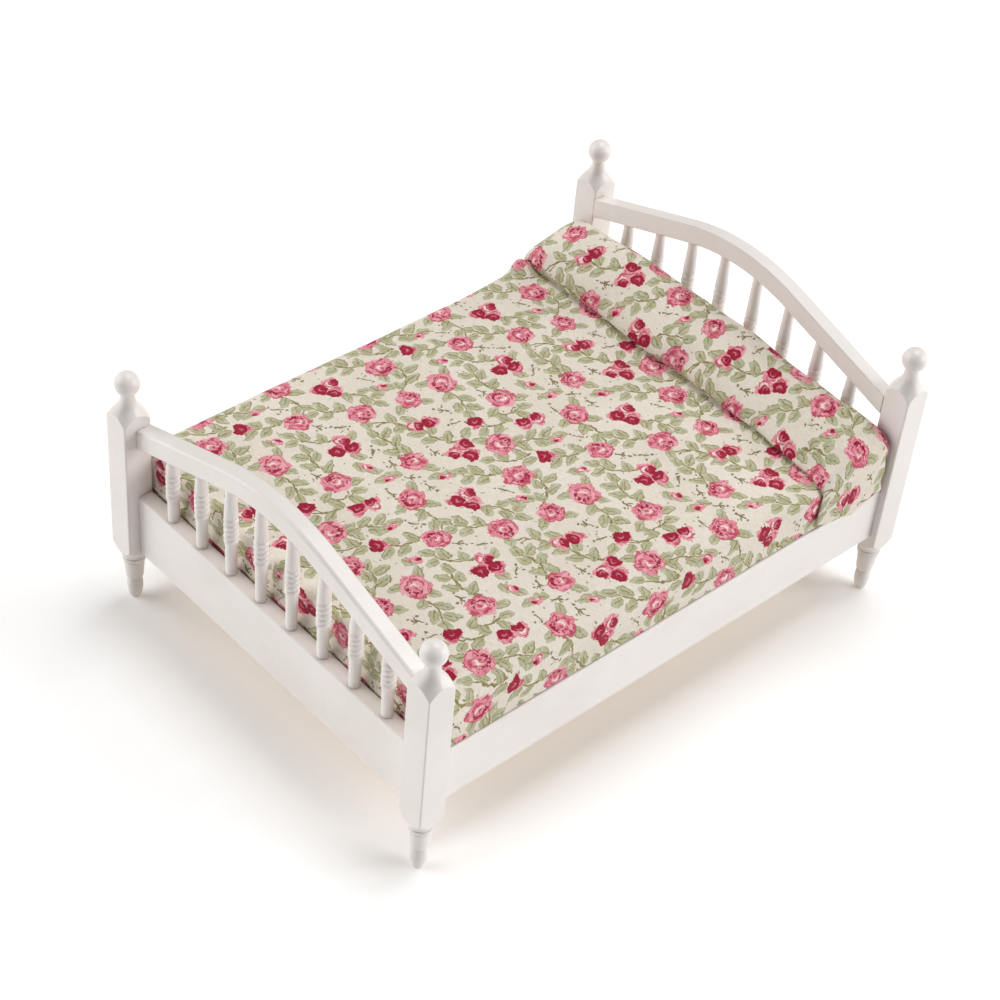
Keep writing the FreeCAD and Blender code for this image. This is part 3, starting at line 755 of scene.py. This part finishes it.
def pillow():
    """The long pillow at the head, whose cover hangs over the mattress's sides."""
    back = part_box("pillow_cover")[1].y / MM
    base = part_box("mattress_cover")[1].z / MM + 0.5
    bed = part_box("mattress_cover")[1].x / MM + 0.25  # the mattress's side
    flat_half = 58.0  # the top's flat part reaches this far each way across the bed
    turn_start, turn_share = 59.5, 0.33  # the turn over the edge starts here, less a share of the height
    print_x, print_y = 21.0, 37.0  # how far the pillow's cloth is shifted in the print

    # (across the bed, crest height)
    height = [(-64, 8.3), (-50, 10.9), (-30, 12.0), (-8, 11.9), (11, 11.6), (30, 10.4), (48, 9.6), (60, 8.0)]
    # (across the bed, how thick the front fold is)
    lip = [(-64, 1.25), (-46, 1.55), (-10, 1.50), (15, 1.15), (40, 0.85), (64, 0.80)]
    # hem height of the hanging ends, from front to back
    hem = [(52, 42.5), (56, 41.9), (63, 39.7), (68, 39.0), (72, 40.4), (75, 41.6), (79, 41.8)]

    # section from the tuck under the front fold, over the top, to the bottom at the back:
    # (fraction of the way from front to back, height as a share of the crest, height added in mm)
    section = [
        (0.110, 0.00, -0.15), (0.070, 0.00, -0.25), (0.035, 0.00, -0.15), (0.012, 0.00, 0.20),
        (0.000, 0.00, 0.75), (0.004, 0.01, 1.30), (0.022, 0.03, 1.75), (0.055, 0.075, 2.00),
        (0.100, 0.135, 2.10), (0.160, 0.215, 2.05), (0.230, 0.31, 1.90), (0.310, 0.42, 1.70),
        (0.400, 0.545, 1.40), (0.490, 0.66, 1.10), (0.580, 0.765, 0.85), (0.670, 0.86, 0.60),
        (0.750, 0.93, 0.35), (0.820, 0.975, 0.15), (0.880, 1.00, 0.0), (0.925, 0.985, 0.0),
        (0.960, 0.93, 0.0), (0.982, 0.83, 0.0), (0.994, 0.68, 0.0), (1.000, 0.50, 0.0), (0.998, 0.30, 0.0),
        (0.992, 0.14, 0.0), (0.982, 0.05, 0.0), (0.965, 0.0, 0.02),
    ]
    rows = len(section)

    # stations along the pillow: across the top, round the edge, then down the side
    flat_n, turn_n, fall_n = 46, 8, 9
    stations = [("fall", -1, k / fall_n) for k in range(fall_n, 0, -1)]
    stations += [("turn", -1, k / turn_n) for k in range(turn_n, 0, -1)]
    stations += [("flat", 0, -1 + 2 * k / flat_n) for k in range(flat_n + 1)]
    stations += [("turn", 1, k / turn_n) for k in range(1, turn_n + 1)]
    stations += [("fall", 1, k / fall_n) for k in range(1, fall_n + 1)]

    def place(station, fraction, share, extra):
        kind, side, t = station
        end_x = side * 62.0 if side else t * flat_half
        # the height above the mattress at this station's place across the bed
        def tall(x):
            return share * curve_at(height, x) + extra * curve_at(lip, x)
        h_edge = tall(side * flat_half) if side else 0.0
        yf = curve_at(FOLD, end_x)
        out = 0.85 * (1 - math.exp(-h_edge / 0.85)) if side else 0.0
        x_start = turn_start - turn_share * h_edge if side else 0.0
        if kind == "flat":
            reach = turn_start - turn_share * (share * curve_at(height, flat_half * t) + extra)
            x = t * reach
            z = base + tall(x)
        else:
            rx, rz = bed + out - x_start, 2.3 + 0.47 * h_edge
            if kind == "turn":
                a = t * math.pi / 2
                x = side * (x_start + rx * math.sin(a))
                z = base + h_edge - rz * (1 - math.cos(a))
            else:
                z0 = base + h_edge - rz
                y_here = yf + fraction * (back - yf)
                z1 = curve_at(hem, y_here)
                z = z0 + (z1 - z0) * t
                lean = curve_at([(38.0, 1.15), (41.5, 0.95), (44.5, 0.35), (50.0, 0.0)], z)
                x = side * (bed + out + lean)
                yf -= 2.2 * (z0 - z) / 11.0
        y = yf + fraction * (back - yf)
        if kind == "fall":
            y = min(y, back - 0.6 * t)
        return (x, y, z)

    points, faces, uv = [], [], []
    outer, inner = {}, {}
    for i, station in enumerate(stations):
        for j, (fraction, share, extra) in enumerate(section):
            outer[i, j] = len(points)
            points.append(place(station, fraction, share, extra))
    for i, station in enumerate(stations):
        for j, (fraction, share, extra) in enumerate(section):
            if j in (0, rows - 1):
                inner[i, j] = outer[i, j]
            else:
                inner[i, j] = len(points)
                spread = 0.110 + (0.965 - 0.110) * j / (rows - 1)
                points.append(place(station, spread, 0.0, 0.02))

    def flat_map():
        """Where each outer point lies on the flat cloth, by walking along both ways."""
        far = np.array([[points[outer[i, j]] for j in range(rows)] for i in range(len(stations))])
        mid_i, mid_j = len(stations) // 2, 9
        u = np.zeros(far.shape[:2])
        v = np.zeros(far.shape[:2])
        du = np.linalg.norm(np.diff(far, axis=0), axis=2)
        dv = np.linalg.norm(np.diff(far, axis=1), axis=2)
        u[1:] = np.cumsum(du, axis=0)
        v[:, 1:] = np.cumsum(dv, axis=1)
        u -= u[mid_i : mid_i + 1]
        v -= v[:, mid_j : mid_j + 1]
        # the cloth is cut straight, so lengths along it come from the middle of the section
        u = np.repeat(np.median(u, axis=1, keepdims=True), rows, axis=1) * 0.5 + u * 0.5
        return u, v

    u, v = flat_map()

    def face(ids, marks):
        faces.append(ids)
        uv.append([(u[m] + print_x, v[m] + print_y) for m in marks])

    for i in range(len(stations) - 1):
        for j in range(rows - 1):
            marks = [(i, j), (i + 1, j), (i + 1, j + 1), (i, j + 1)]
            face([outer[m] for m in marks], marks)
            face([inner[m] for m in reversed(marks)], list(reversed(marks)))
    for i, order in ((0, 1), (len(stations) - 1, -1)):
        for j in range(rows - 1):
            ids = [outer[i, j], outer[i, j + 1], inner[i, j + 1], inner[i, j]]
            marks = [(i, j), (i, j + 1), (i, j + 1), (i, j)]
            if j == 0:
                ids, marks = ids[:3], marks[:3]
            elif j == rows - 2:
                ids, marks = [ids[0], ids[1], ids[3]], [marks[0], marks[1], marks[3]]
            if order < 0:
                ids, marks = ids[::-1], marks[::-1]
            face(ids, marks)

    made = make_mesh("pillow", points, faces, uv)
    tucked = {outer[i, j] for i in range(len(stations)) for j in (1, 2, rows - 2)}
    hold = sorted(set(inner.values()) | tucked)
    free = np.zeros(len(points))
    for (i, j), k in outer.items():
        free[k] = max(0.0, min(1.0, (j - 5) / 6))  # none at the front fold
    inflate(made, hold, free, pressure=4.0, cap=0.8, shrink=-0.03)
    co = np.array([v.co for v in made.data.vertices]) / MM
    for k in set(outer.values()) - set(inner.values()):
        x, y, z = co[k]
        lift = max(0.0, min(1.0, (z - base - 1.0) / 5.0)) if abs(x) < 61 else 0.0
        near_end = max(0.0, min(1.0, (abs(x) - 44) / 14))
        soft = 0.30 * ripple(x / 17, y / 12, 0, 5) + 0.22 * near_end * ripple(x / 6, y / 7, 0, 6)
        co[k, 2] += lift * soft
        # a plump front corner on the left, and a dent in the one on the right
        plump = math.exp(-(((x + 61.0) / 6.0) ** 2) - ((y - 60.5) / 3.6) ** 2)
        co[k, 2] += 1.5 * plump * max(0.0, min(1.0, (z - 46) / 6))
        co[k, 2] -= 1.1 * math.exp(-(((x - 58.5) / 2.4) ** 2) - ((y - 59.0) / 4.0) ** 2)
        if abs(x) >= 61:
            hang = max(0.0, min(1.0, (60 - z) / 10))
            co[k, 0] += math.copysign(1, x) * 0.28 * max(0.0, ripple(y / 7, z / 16, 0, 7)) * hang
    made.data.vertices.foreach_set("co", (co * MM).ravel())
    made.data.update()
    return made


def smooth_out(obj, levels=1):
    """Applies one subdivision, keeping the cloth coordinates."""
    modifier = obj.modifiers.new("smooth", "SUBSURF")
    modifier.levels = modifier.render_levels = levels
    modifier.uv_smooth = "PRESERVE_BOUNDARIES"
    graph = bpy.context.evaluated_depsgraph_get()
    shown = obj.evaluated_get(graph)
    mesh = bpy.data.meshes.new_from_object(shown, preserve_all_data_layers=True, depsgraph=graph)
    obj.modifiers.remove(modifier)
    obj.data = mesh
    mesh.polygons.foreach_set("use_smooth", [True] * len(mesh.polygons))
    mesh.update()


# ---------------------------------------------------------------- the model

paint, timber, cotton = painted_wood(), bare_wood(), printed_cotton()
finish = {"white_paint": paint, "bare_wood": timber}
for part in frame["record"]["subparts"]:
    if part["material_slot"] in finish:
        node = frame["nodes"][part["node"]]
        node.data.materials.clear()
        node.data.materials.append(finish[part["material_slot"]])

bed = mattress()
smooth_out(bed)
bed.data.materials.append(cotton)
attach(bed, "mattress")
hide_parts("mattress_core", "mattress_cover")

head = pillow()
smooth_out(head)
head.data.materials.append(cotton)
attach(head, "pillow")
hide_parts("pillow_core", "pillow_cover")

# ---------------------------------------------------------------- the studio


def floor():
    made, net, shader = material("studio_floor", Specular_IOR_Level=0.1)
    place = net.add("TexCoord").outputs["Object"]
    cloud = net.noise(place, 9.0, 3.0)[0]
    net.put(shader.inputs["Base Color"], net.mix(cloud, srgb(250, 250, 250), srgb(246, 246, 246)))
    net.put(shader.inputs["Roughness"], net.span(cloud, 0.3, 0.7, 0.85, 0.95))
    shader.inputs["Emission Color"].default_value = (1, 1, 1, 1)
    shader.inputs["Emission Strength"].default_value = 0.19
    mesh = bpy.data.meshes.new("floor")
    mesh.from_pydata([(-6, -6, 0), (6, -6, 0), (6, 6, 0), (-6, 6, 0)], [], [(0, 1, 2, 3)])
    obj = bpy.data.objects.new("floor", mesh)
    bpy.context.scene.collection.objects.link(obj)
    mesh.materials.append(made)


def softbox(name, towards, distance, size, power, colour=(1, 1, 1)):
    """A square area light, seen from the bed in the given direction and facing it."""
    light = bpy.data.lights.new(name, "AREA")
    light.shape, light.size = "SQUARE", size
    light.energy, light.color = power, colour
    obj = bpy.data.objects.new(name, light)
    bpy.context.scene.collection.objects.link(obj)
    aim = Vector((0, 0, 0.04))
    back = Vector(towards).normalized()
    obj.location = aim + back * distance
    obj.rotation_mode = "QUATERNION"
    obj.rotation_quaternion = back.to_track_quat("Z", "Y")


floor()
softbox("light_right", (0.76, 0.66, 0.38), 2.0, 1.2, 24.3)
softbox("light_left", (-0.72, -0.66, 0.45), 2.0, 1.8, 31.0, (1.0, 0.99, 0.975))
softbox("light_top", (0.0, 0.30, 1.0), 2.0, 1.1, 23.5)
world = bpy.data.worlds.new("studio")
world.use_nodes = True
world.node_tree.nodes["Background"].inputs["Color"].default_value = (1, 1, 1, 1)
world.node_tree.nodes["Background"].inputs["Strength"].default_value = 0.04
bpy.context.scene.world = world
bpy.context.scene.view_settings.view_transform = "Standard"

camera = bpy.data.objects.new("camera", bpy.data.cameras.new("camera"))
camera.data.sensor_width, camera.data.lens = 36.0, 83.27
camera.data.clip_start, camera.data.clip_end = 0.05, 20.0
camera.location = (0.33178, -0.34071, 0.45226)
camera.rotation_euler = (math.radians(48.496), math.radians(-4.247), math.radians(48.440))
bpy.context.scene.collection.objects.link(camera)
bpy.context.scene.camera = camera
